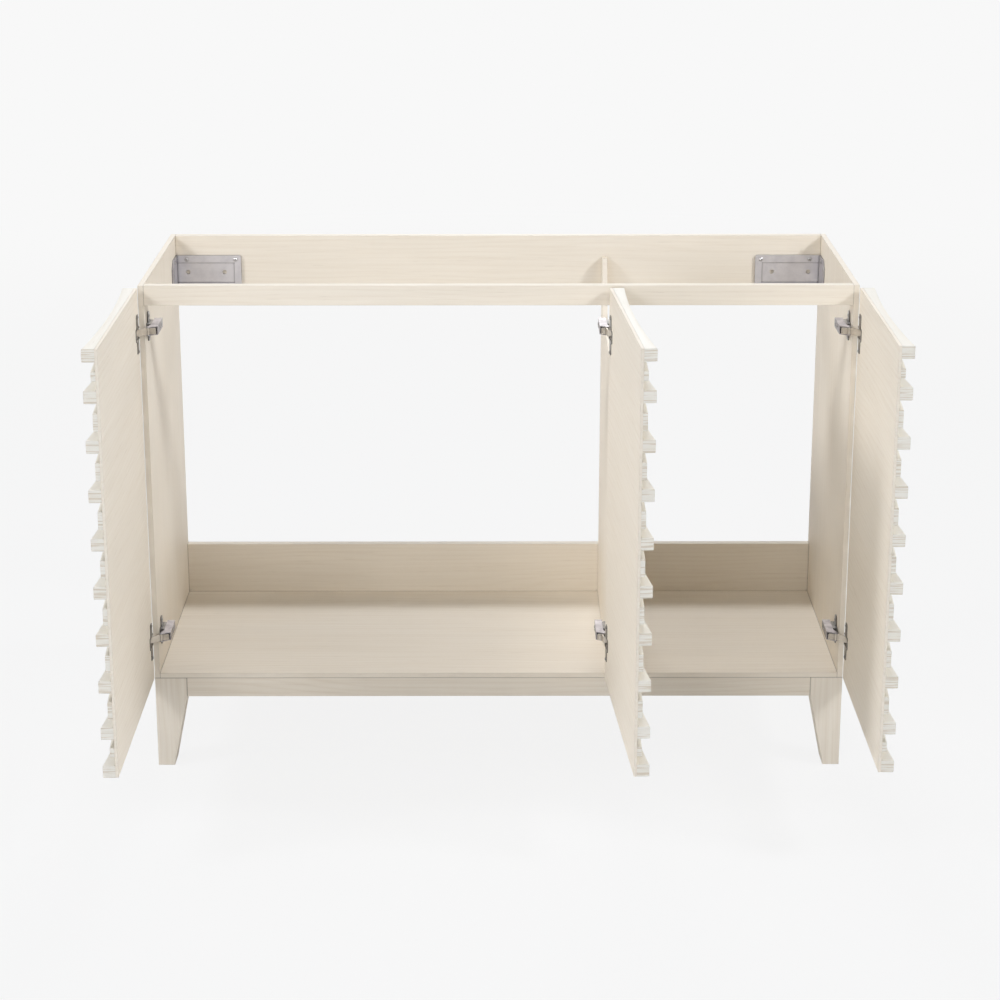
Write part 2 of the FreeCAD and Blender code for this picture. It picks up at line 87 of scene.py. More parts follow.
# Hinge pins: how far they stand off the panel and ahead of its front edge.
PIN_OFF_PANEL = 0.005
PIN_AHEAD = 0.0005

# The inner lever of a hinge link, from its near edge off the pin to its far end, and the
# rings of its surface: how far each is drawn in, and its depth behind the lever's front.
LEVER_START = 0.0016
LEVER_REACH = 0.0136
LEVER_HALF = 0.0053
LEVER_THICK = 0.0014
LEVER_ROUND = 0.0022
LEVER_LEAST_ROUND = 0.0002
LEVER_ROUND_STEPS = 6
LEVER_SUNK = 0.00042
LEVER_RINGS = ((0.0, LEVER_THICK), (0.0, 0.0003), (0.0003, 0.0), (0.0012, 0.0),
               (0.0016, LEVER_SUNK), (0.0030, LEVER_SUNK))

# Screws: a pan head, whose crown narrows to a share of its radius over a share of its
# height, a shank with a point, and a cross recess.
SCREW_SIDES = 16
SCREW_HEAD_RADIUS = 0.0032
SCREW_HEAD = 0.0015
SCREW_CROWN = 0.6
SCREW_RADIUS = 0.0016
SCREW_POINT = 0.002
SCREW_TIP_RADIUS = 0.0001

bar_pitch = (DOOR_TOP - DOOR_BOTTOM - BAR_HEIGHT - 2 * END_PITCH) / (BAR_COUNT - 3)
bar_centres = [DOOR_BOTTOM + BAR_HEIGHT / 2]
for pitch in [END_PITCH] + [bar_pitch] * (BAR_COUNT - 3) + [END_PITCH]:
    bar_centres.append(bar_centres[-1] + pitch)
HINGES = (bar_centres[1], bar_centres[-2])


def door_matrix(side):
    """From the door's own drawing to its place, standing open."""
    edge = PARTITION_FACE - PIN_OFF_PANEL if side == "middle" else SIDE_OUTER
    place = Matrix(((0, 1, 0, edge), (-1, 0, 0, FRONT - DOOR_GAP), (0, 0, 1, 0), (0, 0, 0, 1)))
    if side == "middle":
        axis = Matrix.Translation((*MIDDLE_AXIS, 0))
        place = axis @ Matrix.Rotation(MIDDLE_TURN, 4, "Z") @ axis.inverted() @ place
    if side == "left":
        place = Matrix.Diagonal((-1, 1, 1, 1)) @ place
    return place


def add_object(name, data):
    added = bpy.data.objects.new(name, data)
    bpy.context.scene.collection.objects.link(added)
    return added


# ---------------------------------------------------------------- writing node trees
def linear(red, green, blue):
    """A colour given in 0 to 255 as it is seen, turned into the light that shaders add up."""
    def channel(value):
        value /= 255
        return value / 12.92 if value <= 0.04045 else ((value + 0.055) / 1.055) ** 2.4
    return (channel(red), channel(green), channel(blue), 1.0)


def shaded(colour, share):
    """A colour made darker or lighter."""
    return tuple(min(1.0, value * share) for value in colour[:3]) + (1.0,)


class Wire:
    """One socket of a node tree; arithmetic written with it adds Math nodes."""

    def __init__(self, tree, socket):
        self.tree = tree
        self.socket = socket

    def maths(self, operation, *values):
        return add_node(self.tree, "ShaderNodeMath", {"operation": operation}, *values)

    def __add__(self, other):
        return self.maths("ADD", self, other)

    def __radd__(self, other):
        return self.maths("ADD", other, self)

    def __sub__(self, other):
        return self.maths("SUBTRACT", self, other)

    def __rsub__(self, other):
        return self.maths("SUBTRACT", other, self)

    def __mul__(self, other):
        return self.maths("MULTIPLY", self, other)

    def __rmul__(self, other):
        return self.maths("MULTIPLY", other, self)

    def __truediv__(self, other):
        return self.maths("DIVIDE", self, other)

    def __rtruediv__(self, other):
        return self.maths("DIVIDE", other, self)

    def __pow__(self, other):
        return self.maths("POWER", self, other)

    def __rpow__(self, other):
        return self.maths("POWER", other, self)

    def __abs__(self):
        return self.maths("ABSOLUTE", self)

    def kept_between(self, low=0.0, high=1.0):
        return self.maths("MINIMUM", self.maths("MAXIMUM", self, low), high)

    def step_up(self, low, high):
        """0 below low, 1 above high, smooth in between."""
        return add_node(self.tree, "ShaderNodeMapRange", {"interpolation_type": "SMOOTHSTEP"},
                        self, low, high, 0.0, 1.0)


def add_node(tree, kind, settings=None, *values, output=None, **named):
    """Adds a node, makes its settings, fills its sockets in order or by name, and gives the
    output that is asked for, or else its first one."""
    node = tree.nodes.new(kind)
    for key, value in (settings or {}).items():
        setattr(node, key, value)
    shown = [socket for socket in node.inputs if socket.enabled]
    pairs = list(zip(shown, values))
    for name, value in named.items():
        pairs.append((next(s for s in shown if s.name == name.replace("_", " ")), value))
    for socket, value in pairs:
        if isinstance(value, Wire):
            tree.links.new(value.socket, socket)
        else:
            socket.default_value = value
    if output:
        return Wire(tree, node.outputs[output])
    return Wire(tree, next(socket for socket in node.outputs if socket.enabled))


def vector(tree, x=0.0, y=0.0, z=0.0):
    return add_node(tree, "ShaderNodeCombineXYZ", None, x, y, z)


def component(tree, value, axis):
    return add_node(tree, "ShaderNodeSeparateXYZ", None, value, output=axis)


# ---------------------------------------------------------------- materials
# Waves a metre of the patterns in wood: along the grain, through the growth rings on the
# face, and across both.
BROAD_BANDS = (1.1, 7.0, 5.0)
CLOUDS = (4.0, 12.0, 9.0)
STREAKS = (4.0, 230.0, 50.0)
HAIR_LINES = (22.0, 900.0, 500.0)
END_LAYERS = (3.0, 420.0, 14.0)
RING_TURN = 620.0  # radians a metre, which sets the growth rings about 10 mm apart

RUBBED_WOOD = linear(220, 206, 184)
END_LINES = linear(190, 164, 126)
RUBBED_STEEL = linear(232, 231, 232)

# Each finish of wood as its pale and its dark colour.
WASHED = (linear(246, 237, 222), linear(221, 205, 182))
STRIP_WASH = (linear(244, 240, 230), linear(230, 221, 203))
RAW = (linear(214, 190, 150), linear(180, 148, 104))


def start_material(name):
    material = bpy.data.materials.new(name)
    material.use_nodes = True
    material.node_tree.nodes.clear()
    return material, material.node_tree


def finish_material(tree, surface):
    out = tree.nodes.new("ShaderNodeOutputMaterial")
    tree.links.new(surface.socket, out.inputs["Surface"])


def finish_solid(tree, bump, distance, height, rounded, **sockets):
    """Ends a material in one shader, with height as bumps on top of the rounded edges."""
    normal = add_node(tree, "ShaderNodeBump", None, Strength=bump, Distance=distance,
                      Height=height, Normal=rounded)
    finish_material(tree, add_node(tree, "ShaderNodeBsdfPrincipled", None, Normal=normal,
                                   **sockets))


def mixed(tree, first, second, share):
    """The first colour, going to the second by share."""
    return add_node(tree, "ShaderNodeMix", {"data_type": "RGBA"}, share, first, second)


def coated(tree, colour, coats):
    """A colour with others laid over it in turn, each by its own share."""
    for coat, share in coats:
        colour = mixed(tree, colour, coat, share)
    return colour


def worn_edges(tree, radius):
    """1 along sharp edges and 0 on flat faces, with the normal of an edge rounded by radius."""
    rounded = add_node(tree, "ShaderNodeBevel", {"samples": 3}, radius)
    flat = add_node(tree, "ShaderNodeNewGeometry", output="Normal")
    alike = add_node(tree, "ShaderNodeVectorMath", {"operation": "DOT_PRODUCT"},
                     rounded, flat, output="Value")
    return (1.0 - alike).step_up(0.02, 0.30), rounded


def painted_crease_shade(tree, reach, low=0.22, high=0.72):
    """1 in inner corners and close to another piece, where shade falls, 0 in the open: the mask
    for painted shade.
    """
    free = add_node(tree, "ShaderNodeAmbientOcclusion", {"samples": 4}, Distance=reach,
                    output="AO")
    return (1.0 - free).step_up(low, high)


def joint_lines(tree, joints):
    """1 in a thin line where a piece ends against its neighbour, 0 elsewhere."""
    lines = 0.0
    for axis, distance in joints:
        place = component(tree, add_node(tree, "ShaderNodeTexCoord", output="Object"), axis)
        apart = abs(abs(place) - distance)
        facing = component(tree, add_node(tree, "ShaderNodeNewGeometry", output="Normal"), axis)
        beside = 1.0 - abs(facing).step_up(0.3, 0.7)
        lines = (1.0 - apart.step_up(0.0005, 0.0012)) * beside + lines
    return lines


def stretched(tree, scales, shift=(0.0, 0.0, 0.0)):
    """Object coordinates with a scale for each axis, so that a pattern is drawn out."""
    place = add_node(tree, "ShaderNodeTexCoord", output="Object")
    return add_node(tree, "ShaderNodeMapping", None, place, Location=shift, Scale=scales)


def noise(tree, scales, detail, roughness=0.5, shift=(0.0, 0.0, 0.0)):
    """A cloudy pattern from 0 to 1, with so many waves a metre along each axis."""
    return add_node(tree, "ShaderNodeTexNoise", None, stretched(tree, scales, shift),
                    Scale=1.0, Detail=detail, Roughness=roughness)


def make_wood(name, axes, colours, seed, figure=1.0, depth=0.3, strips=False, joints=()):
    """Washed or raw wood. axes names the axis along the grain, the one through the growth
    rings on the face, and the third one. figure opens the rings into arches, and depth is
    how strongly the grain shows. strips have a tone of their own and end grain. joints are
    the places where the piece ends against another and a thin dark line shows."""
    material, tree = start_material(name)
    pale, dark = colours

    def pattern(waves, detail, roughness=0.55):
        found = dict(zip(axes, waves))
        return noise(tree, [found[axis] for axis in "XYZ"], detail, roughness,
                     (seed, seed * 0.37, seed * 0.61))

    broad = pattern(BROAD_BANDS, 2.0)
    cloud = pattern(CLOUDS, 3.0)
    streak = pattern(STREAKS, 5.0, 0.62)
    hair = pattern(HAIR_LINES, 3.0)
    through = component(tree, stretched(tree, (1.0, 1.0, 1.0)), axes[1])
    turn = through * RING_TURN + broad * (52.0 * figure) + cloud * 4.0 + streak * 2.2
    rings = (turn.maths("SINE", turn) * 0.5 + 0.5) ** 3.0
    pores = hair.step_up(0.58, 0.74) * streak.step_up(0.42, 0.60)
    edge, rounded = worn_edges(tree, 0.0010)
    grain = (streak.step_up(0.30, 0.74) * 0.62 + rings * 0.34
             + cloud.step_up(0.3, 0.8) * 0.30) * depth
    coats = [(shaded(dark, 0.72), pores * 0.30),
             (shaded(pale, 0.92), broad.step_up(0.45, 0.62) * 0.25),
             (RUBBED_WOOD, edge * 0.22)]
    lines = 0.0
    if strips:
        tone = add_node(tree, "ShaderNodeAttribute", {"attribute_name": "tone"}, output="Fac")
        ends = add_node(tree, "ShaderNodeAttribute", {"attribute_name": "end_grain"},
                        output="Fac")
        lines = pattern(END_LAYERS, 2.0, 0.5).step_up(0.50, 0.62) * ends
        grain = grain + (tone - 0.5) * 0.16
        coats.append((END_LINES, lines * 0.42))
    # painted shade: the wood darkened in inner corners and close to other pieces
    coats.append((shaded(dark, 0.5), painted_crease_shade(tree, 0.006) * 0.45))
    if joints:
        coats.append((shaded(dark, 0.4), joint_lines(tree, joints) * 0.55))
    rough = 0.52 + streak * 0.14 - edge * 0.08 + pores * 0.10 + lines * 0.1
    finish_solid(tree, 0.20, 0.0004, streak * 0.45 + hair * 0.25 - pores * 0.5 - lines * 0.6,
                 rounded, Roughness=rough.kept_between(0.3, 0.9),
                 Base_Color=coated(tree, mixed(tree, pale, dark, grain.kept_between()), coats))
    return material


def make_metal(name, pale, dark, drawn, rough, cloudy=0.6, corner_shade_strength=0.75):
    """Plated sheet steel: lines drawn along one axis, cloudy plating, brighter rubbed edges
    and painted shade darkening its inner corners."""
    material, tree = start_material(name)
    pale, dark = linear(*pale), linear(*dark)
    lines = noise(tree, [30.0 if axis == drawn else 2600.0 for axis in "XYZ"], 3.0)
    cloud = noise(tree, (60.0, 60.0, 60.0), 4.0, 0.6)
    edge, rounded = worn_edges(tree, 0.0005)
    plating = mixed(tree, pale, dark,
                    (cloud.step_up(0.35, 0.7) * cloudy + lines * 0.3).kept_between())
    coats = [(RUBBED_STEEL, edge * 0.6),
             # painted shade: the plating darkened in inner corners and close to other pieces
             (shaded(dark, 0.2), painted_crease_shade(tree, 0.004, 0.10, 0.45) * corner_shade_strength)]
    roughness = rough + lines * 0.12 + cloud * (0.16 * cloudy) - edge * 0.1
    finish_solid(tree, 0.12, 0.0002, lines * 0.6 + cloud * 0.4, rounded, Metallic=1.0,
                 Roughness=roughness.kept_between(0.12, 0.8),
                 Base_Color=coated(tree, plating, coats))
    return material


def make_plastic(name, colour):
    """Moulded plastic with a fine grain, paler where it is rough or rubbed."""
    material, tree = start_material(name)
    grain = noise(tree, (900.0, 900.0, 900.0), 2.0)
    edge, rounded = worn_edges(tree, 0.0006)
    paler = mixed(tree, colour, shaded(colour, 1.5), (grain * 0.4 + edge * 0.6).kept_between())
    finish_solid(tree, 0.15, 0.0002, grain, rounded, Base_Color=paler,
                 Roughness=0.45 + grain * 0.2)
    return material


finishes = {
    "side_wood": make_wood("washed_sides", "ZYX", WASHED, 0.3, figure=0.8,
                           joints=(BASE_JOINT,)),
    "partition_wood": make_wood("washed_partition", "ZYX", WASHED, 1.7, figure=0.9),
    "shelf_wood": make_wood("washed_shelf", "XYZ", WASHED, 2.9, figure=1.3, depth=0.28,
                            joints=(BASE_JOINT, SIDE_JOINT)),
    "rail_wood": make_wood("washed_rails", "XZY", WASHED, 0.7, figure=1.6, depth=0.26,
                           joints=(SIDE_JOINT,)),
    "apron_wood": make_wood("washed_aprons", "XZY", WASHED, 1.9, figure=1.2, depth=0.5,
                            joints=(LEG_JOINT, BASE_JOINT)),
    "side_apron_wood": make_wood("washed_side_aprons", "YZX", WASHED, 4.1, depth=0.5,
                                 joints=(FRONT_LEG_JOINT, BACK_LEG_JOINT, BASE_JOINT)),
    "leg_wood": make_wood("washed_legs", "ZXY", WASHED, 5.3, figure=0.9, depth=0.5,
                          joints=(LEG_JOINT, BASE_JOINT)),
    "door_board_wood": make_wood("washed_door_boards", "YZX", WASHED, 5.1, figure=1.3,
                                 depth=0.28),
    "door_bar_wood": make_wood("washed_bars", "YZX", STRIP_WASH, 6.2, depth=0.34, strips=True),
    "door_slat_wood": make_wood("washed_slats", "YZX", STRIP_WASH, 8.2, depth=0.34,
                                strips=True),
    "block_wood": make_wood("raw_blocks", "XZY", RAW, 4.7, depth=0.8),
    "dowel_wood": make_wood("raw_dowels", "XZY", RAW, 6.6, figure=0.6, depth=0.6),
    "glide_plastic": make_plastic("dark_glides", linear(70, 68, 66)),
    "bolt_steel": make_metal("zinc_bolts", (188, 188, 184), (150, 150, 150), "Z", 0.28),
    # the brackets get stronger painted shade in their inner corners
    "bracket_steel": make_metal("zinc_brackets", (206, 203, 205), (182, 179, 183), "X", 0.34,
                                cloudy=0.4, corner_shade_strength=0.9),
    "screw_steel": make_metal("plated_screws", (206, 204, 204), (168, 166, 166), "Y", 0.24),
    "pin_steel": make_metal("polished_pins", (180, 180, 180), (130, 130, 130), "Z", 0.2),
    "cup_steel": make_metal("nickel_cups", (166, 162, 156), (104, 100, 95), "Z", 0.24),
    "cup_screw_steel": make_metal("nickel_cup_screws", (180, 178, 174), (126, 124, 120), "Z",
                                  0.24),
    "link_steel": make_metal("nickel_links", (208, 200, 188), (172, 162, 149), "Z", 0.40),
    "plate_steel": make_metal("nickel_plates", (168, 165, 161), (108, 105, 101), "Z", 0.24),
    "arm_steel": make_metal("nickel_arms", (186, 180, 180), (132, 127, 128), "Y", 0.34),
}
slot_of = {part["node"]: part["material_slot"] for part in frame["record"]["subparts"]}
for node_name, node in nodes.items():
    finish = finishes[slot_of[node_name]]
    if node.material_slots:
        for material_slot in node.material_slots:
            material_slot.material = finish
    else:
        node.data.materials.append(finish)


# ---------------------------------------------------------------- growing repeated pieces
def start_growth(name, sizes):
    """A node tree that grows pieces on points, with a named input for each size."""
    tree = bpy.data.node_groups.new(name, "GeometryNodeTree")
    tree.interface.new_socket("Points", in_out="INPUT", socket_type="NodeSocketGeometry")
    keys = {}
    for size, value in sizes.items():
        kind = "NodeSocketInt" if isinstance(value, int) else "NodeSocketFloat"
        socket = tree.interface.new_socket(size, in_out="INPUT", socket_type=kind)
        socket.default_value = value
        keys[size] = socket.identifier
    tree.interface.new_socket("Grown", in_out="OUTPUT", socket_type="NodeSocketGeometry")
    entry = tree.nodes.new("NodeGroupInput")
    given = {socket.name: Wire(tree, socket) for socket in entry.outputs if socket.name}
    return tree, keys, given


def end_growth(tree, grown, material):
    done = add_node(tree, "GeometryNodeSetMaterial", None, Geometry=grown, Material=material)
    leave = tree.nodes.new("NodeGroupOutput")
    tree.links.new(done.socket, leave.inputs[0])


def cut_out(tree, solid, tools, operation="DIFFERENCE"):
    """A solid less its tools, or joined with them."""
    node = tree.nodes.new("GeometryNodeMeshBoolean")
    node.operation = operation
    node.solver = "EXACT"
    if operation == "DIFFERENCE":
        tree.links.new(solid.socket, node.inputs["Mesh 1"])
    else:
        tools = [solid] + tools
    for tool in tools:
        tree.links.new(tool.socket, node.inputs["Mesh 2"])
    return Wire(tree, node.outputs["Mesh"])


def moved(tree, shape, place):
    return add_node(tree, "GeometryNodeTransform", None, Geometry=shape, Translation=place)


def stored(tree, shape, name, domain, value):
    """The shape, keeping a value under a name on each of its points, faces or instances."""
    return add_node(tree, "GeometryNodeStoreNamedAttribute",
                    {"data_type": "FLOAT", "domain": domain}, Geometry=shape, Name=name,
                    Value=value)


def recalled(tree, name, kind="FLOAT"):
    return add_node(tree, "GeometryNodeInputNamedAttribute", {"data_type": kind}, Name=name)


def points_mesh(name, places, **values):
    """Loose points for a tree to grow on, each with its own values."""
    points = bpy.data.meshes.new(name)
    points.from_pydata(places, [], [])
    for key, column in values.items():
        vectors = isinstance(column[0], Vector)
        layer = points.attributes.new(key, "FLOAT_VECTOR" if vectors else "FLOAT", "POINT")
        if vectors:
            layer.data.foreach_set("vector", [part for value in column for part in value])
        else:
            layer.data.foreach_set("value", column)
    return points


def smoothed(shape, degrees):
    """Smooth faces, with the edges that turn by more than so many degrees left sharp."""
    shape.shade_smooth()
    shape.set_sharp_from_angle(angle=math.radians(degrees))


def grow(node_name, body, points, tree, keys, sizes, matrix=None):
    """Grows a plain mesh that stands for a node, and puts it in place."""
    source = add_object(node_name + "_source", points)
    modifier = source.modifiers.new("growth", "NODES")
    modifier.node_group = tree
    for size, value in sizes.items():
        modifier[keys[size]] = value
    bpy.context.view_layer.update()
    shape = bpy.data.meshes.new_from_object(
        source.evaluated_get(bpy.context.evaluated_depsgraph_get()))
    bpy.data.objects.remove(source)
    if matrix is not None:
        shape.transform(matrix)
        if matrix.determinant() < 0:
            shape.flip_normals()
    smoothed(shape, 30)
    shape.name = node_name + "_piece"
    piece = add_object(node_name + "_piece", shape)
    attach(piece, body)
    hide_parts(node_name)


# ---------------------------------------------------------------- door fronts
def strip_tree(material):
    """Bowed strips: one on each point, its front an arc in plan, its long edges rounded, with
    the pockets for the hinge cups cut out."""
    tree, keys, given = start_growth("bowed_strips", {
        "Length": DOOR_WIDTHS["left"], "Height": BAR_HEIGHT, "Proud": BAR_PROUD, "Bow": BOW,
        "Round": STRIP_ROUND, "Backing": BACKING, "Pocket start": POCKETS["left"][0],
        "Pocket end": POCKETS["left"][1], "Pocket depth": POCKET_DEPTH,
        "Pocket half": POCKET_HALF, "Seed": 1})
    line = add_node(tree, "GeometryNodeCurvePrimitiveLine", None,
                    End=vector(tree, given["Length"]))
    path = add_node(tree, "GeometryNodeResampleCurve", None, Curve=line, Count=STRIP_POINTS)
    outline = add_node(tree, "GeometryNodeCurvePrimitiveQuadrilateral", None,
                       Width=given["Proud"], Height=given["Height"])
    outline = add_node(tree, "GeometryNodeFilletCurve", {"mode": "POLY"}, Curve=outline,
                       Count=3, Radius=given["Round"])
    strip = add_node(tree, "GeometryNodeCurveToMesh", None, Curve=path, Profile_Curve=outline,
                     Fill_Caps=True)
    place = add_node(tree, "GeometryNodeInputPosition")
    x, y, z = [component(tree, place, axis) for axis in "XYZ"]
    from_middle = x / given["Length"] * 2.0 - 1.0
    sink = given["Bow"] * (1.0 - from_middle * from_middle)
    share = y / given["Proud"] + 0.5
    bowed = vector(tree, x, given["Backing"] + share * (given["Proud"] - sink), z)
    strip = add_node(tree, "GeometryNodeSetPosition", None, Geometry=strip, Position=bowed)
    facing = component(tree, add_node(tree, "GeometryNodeInputNormal"), "X")
    strip = stored(tree, strip, "end_grain", "FACE", abs(facing).step_up(0.90, 0.95))
    strips = add_node(tree, "GeometryNodeInstanceOnPoints", None, Points=given["Points"],
                      Instance=strip, Scale=vector(tree, 1.0, 1.0, recalled(tree, "height_share")))
    tone = add_node(tree, "FunctionNodeRandomValue", {"data_type": "FLOAT"}, Seed=given["Seed"])
    strips = stored(tree, strips, "tone", "INSTANCE", tone)
    strips = add_node(tree, "GeometryNodeRealizeInstances", None, strips)
    start, end = given["Pocket start"], given["Pocket end"]
    pocket = add_node(tree, "GeometryNodeMeshCube", None, vector(
        tree, end - start, given["Pocket depth"] * 2.0, given["Pocket half"] * 2.0))
    pockets = [moved(tree, pocket, vector(tree, (end + start) * 0.5, 0.0, height))
               for height in HINGES]
    end_growth(tree, cut_out(tree, strips, pockets), material)
    return tree, keys


slat_heights = []
slat_places = []
for low, high in zip(bar_centres[:-1], bar_centres[1:]):
    slat_places.append((0.0, 0.0, (low + high) / 2))
    slat_heights.append(high - low - BAR_HEIGHT - 2 * SLAT_GAP)
full_slat = max(slat_heights)
bar_places = [(0.0, 0.0, height) for height in bar_centres]
slat_shares = [height / full_slat for height in slat_heights]
bar_tree, bar_keys = strip_tree(finishes["door_bar_wood"])
slat_tree, slat_keys = strip_tree(finishes["door_slat_wood"])
for number, side in enumerate(("left", "middle", "right")):
    pocket_start, pocket_end = POCKETS[side]
    sizes = {"Length": DOOR_WIDTHS[side], "Pocket start": pocket_start,
             "Pocket end": pocket_end}
    bars = points_mesh(side + "_bar_points", bar_places, height_share=[1.0] * BAR_COUNT)
    grow(side + "_door_bars", side + "_door", bars, bar_tree, bar_keys,
         dict(sizes, Height=BAR_HEIGHT, Proud=BAR_PROUD, Bow=BOW, Seed=11 + number),
         door_matrix(side))
    slats = points_mesh(side + "_slat_points", slat_places, height_share=slat_shares)
    grow(side + "_door_slats", side + "_door", slats, slat_tree, slat_keys,
         dict(sizes, Height=full_slat, Proud=SLAT_PROUD, Bow=-BOW, Seed=21 + number),
         door_matrix(side))


# ---------------------------------------------------------------- hinge levers
def lever_outline(shrink):
    """One ring of a lever, drawn in by shrink, as reach and height, with a rounded far end."""
    half = LEVER_HALF - shrink
    reach = LEVER_REACH - shrink
    corner = max(LEVER_ROUND - shrink, LEVER_LEAST_ROUND)
    points = [(LEVER_START, -half)]
    for up in (-1, 1):
        for step in range(LEVER_ROUND_STEPS + 1)[::-up]:
            turn = math.radians(90 * step / LEVER_ROUND_STEPS)
            points.append((reach - corner + corner * math.sin(turn),
                           up * (half - corner + corner * math.cos(turn))))
    points.append((LEVER_START, half))
    return [(max(along, LEVER_START + shrink), up) for along, up in points]


def build_levers(side, pin_x, way):
    """The inner levers of one side's links, pointing along way from the pins. A lever stands
    across the open mouth of the arm while the door is open, and folds back between the arm's
    cheeks as it closes. A raised bead runs round its front."""
    mesh = bmesh.new()
    for height in HINGES:
        rings = []
        for shrink, depth in LEVER_RINGS:
            y = FRONT - PIN_AHEAD - LEVER_THICK / 2 + depth
            rings.append([mesh.verts.new((pin_x + way * along, y, height + up))
                          for along, up in lever_outline(shrink)])
        for near, far in zip(rings[:-1], rings[1:]):
            for start in range(len(near)):
                end = (start + 1) % len(near)
                mesh.faces.new((near[start], near[end], far[end], far[start]))
        mesh.faces.new(rings[0])
        mesh.faces.new(rings[-1])
    bmesh.ops.remove_doubles(mesh, verts=mesh.verts, dist=1e-7)
    bmesh.ops.recalc_face_normals(mesh, faces=mesh.faces)
    shape = bpy.data.meshes.new(side + "_hinge_levers")
    mesh.to_mesh(shape)
    mesh.free()
    smoothed(shape, 40)
    shape.materials.append(finishes["link_steel"])
    piece = add_object(side + "_hinge_levers", shape)
    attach(piece, side + "_links")


build_levers("left", PIN_OFF_PANEL - SIDE_INNER, 1)
build_levers("middle", PARTITION_FACE - PIN_OFF_PANEL, -1)
build_levers("right", SIDE_INNER - PIN_OFF_PANEL, -1)


# ---------------------------------------------------------------- screws
def screw_places(node_name):
    """The top of each screw's head, the way it points and its length, read from its shell.
    Its corners are kept in a fixed order, so that every run turns the screws alike."""
    shells = bmesh.new()
    shells.from_mesh(nodes[node_name].data)
    bmesh.ops.remove_doubles(shells, verts=shells.verts, dist=1e-6)
    waiting = dict.fromkeys(shells.verts)
    tops, ways, lengths = [], [], []
    while waiting:
        spread = [waiting.popitem()[0]]
        group = []
        while spread:
            vertex = spread.pop()
            group.append(vertex.co.copy())
            for edge in vertex.link_edges:
                other = edge.other_vert(vertex)
                if other in waiting:
                    del waiting[other]
                    spread.append(other)
        middle = sum(group, Vector()) / len(group)
        tip = max(group, key=lambda point: (point - middle).length)
        way = (tip - middle).normalized()
        length = max((tip - point).dot(way) for point in group)
        head = [point for point in group if (tip - point).dot(way) > length - SCREW_HEAD * 0.9]
        way = (tip - sum(head, Vector()) / len(head)).normalized()
        tops.append(tip - way * length)
        ways.append(way)
        lengths.append(length)
    shells.free()
    return tops, ways, lengths


def screw_tree(material):
    """Pan-headed screws with a cross recess, each turned at random about its own axis and
    drawn out to its own length."""
    tree, keys, given = start_growth("cross_head_screws", {
        "Head radius": SCREW_HEAD_RADIUS, "Head": SCREW_HEAD, "Shank radius": SCREW_RADIUS,
        "Shortest": 0.008, "Point": SCREW_POINT, "Recess length": 0.0030,
        "Recess width": 0.0007, "Recess depth": 0.0009, "Seed": 1})

    def frustum(radius_near, radius_far, start, depth):
        cone = add_node(tree, "GeometryNodeMeshCone", None, Vertices=SCREW_SIDES,
                        Radius_Bottom=radius_near, Radius_Top=radius_far, Depth=depth)
        return moved(tree, cone, vector(tree, 0.0, 0.0, start))

    head_radius, head = given["Head radius"], given["Head"]
    shank_radius, point = given["Shank radius"], given["Point"]
    crown = frustum(head_radius * SCREW_CROWN, head_radius, 0.0, head * SCREW_CROWN)
    rim = frustum(head_radius, head_radius, head * SCREW_CROWN, head * (1.0 - SCREW_CROWN))
    shank = frustum(shank_radius, shank_radius, head * 0.5,
                    given["Shortest"] - point - head * 0.5)
    tip = frustum(shank_radius, SCREW_TIP_RADIUS, given["Shortest"] - point, point)
    screw = cut_out(tree, crown, [rim, shank, tip], "UNION")
    slots = []
    for across, along in (("Recess length", "Recess width"), ("Recess width", "Recess length")):
        slots.append(add_node(tree, "GeometryNodeMeshCube", None, vector(
            tree, given[across], given[along], given["Recess depth"] * 2.0)))
    screw = cut_out(tree, screw, slots)
    depth = component(tree, add_node(tree, "GeometryNodeInputPosition"), "Z")
    screw = stored(tree, screw, "far_end", "POINT",
                   depth.maths("GREATER_THAN", depth, head * 1.5))
    way = recalled(tree, "way", "FLOAT_VECTOR")
    turned = add_node(tree, "FunctionNodeAlignRotationToVector", {"axis": "Z"}, Vector=way)
    screws = add_node(tree, "GeometryNodeInstanceOnPoints", None, Points=given["Points"],
                      Instance=screw, Rotation=turned)
    angle = add_node(tree, "FunctionNodeRandomValue", {"data_type": "FLOAT"}, Max=math.pi,
                     Seed=given["Seed"])
    screws = add_node(tree, "GeometryNodeRotateInstances", None, Instances=screws,
                      Rotation=vector(tree, 0.0, 0.0, angle))
    screws = add_node(tree, "GeometryNodeRealizeInstances", None, screws)
    longer = recalled(tree, "length") - given["Shortest"]
    drawn_out = add_node(tree, "ShaderNodeVectorMath", {"operation": "SCALE"}, way,
                         longer * recalled(tree, "far_end"))
    screws = add_node(tree, "GeometryNodeSetPosition", None, Geometry=screws, Offset=drawn_out)
    end_growth(tree, screws, material)
    return tree, keys


screw_bodies = {"bracket_screws": "cabinet", "plate_screws": "cabinet",
                "arm_screws": "cabinet", "left_cup_screws": "left_door",
                "middle_cup_screws": "middle_door", "right_cup_screws": "right_door"}
for number, (node_name, body) in enumerate(screw_bodies.items()):
    grown_screws, screw_keys = screw_tree(finishes[slot_of[node_name]])
    tops, ways, lengths = screw_places(node_name)
    grow(node_name, body, points_mesh(node_name + "_points", tops, way=ways, length=lengths),
         grown_screws, screw_keys, {"Shortest": min(lengths), "Seed": 31 + number})


# ---------------------------------------------------------------- floor and world
BACKDROP = linear(248, 248, 248)
BACKDROP_NEAR = 0.92  # share of the backdrop's own light in the floor near the object
SKY_STRENGTH = 0.02
FLOOR_RADIUS = 40.0


def directly_seen(tree):
    """1 for a ray from the camera, a gloss or a glass, 0 for one that lights something."""
    rays = tree.nodes.new("ShaderNodeLightPath")
    camera_ray, glossy_ray, glass_ray = [Wire(tree, rays.outputs[f"Is {kind} Ray"])
                                         for kind in ("Camera", "Glossy", "Transmission")]
    return (camera_ray + glossy_ray + glass_ray).kept_between()


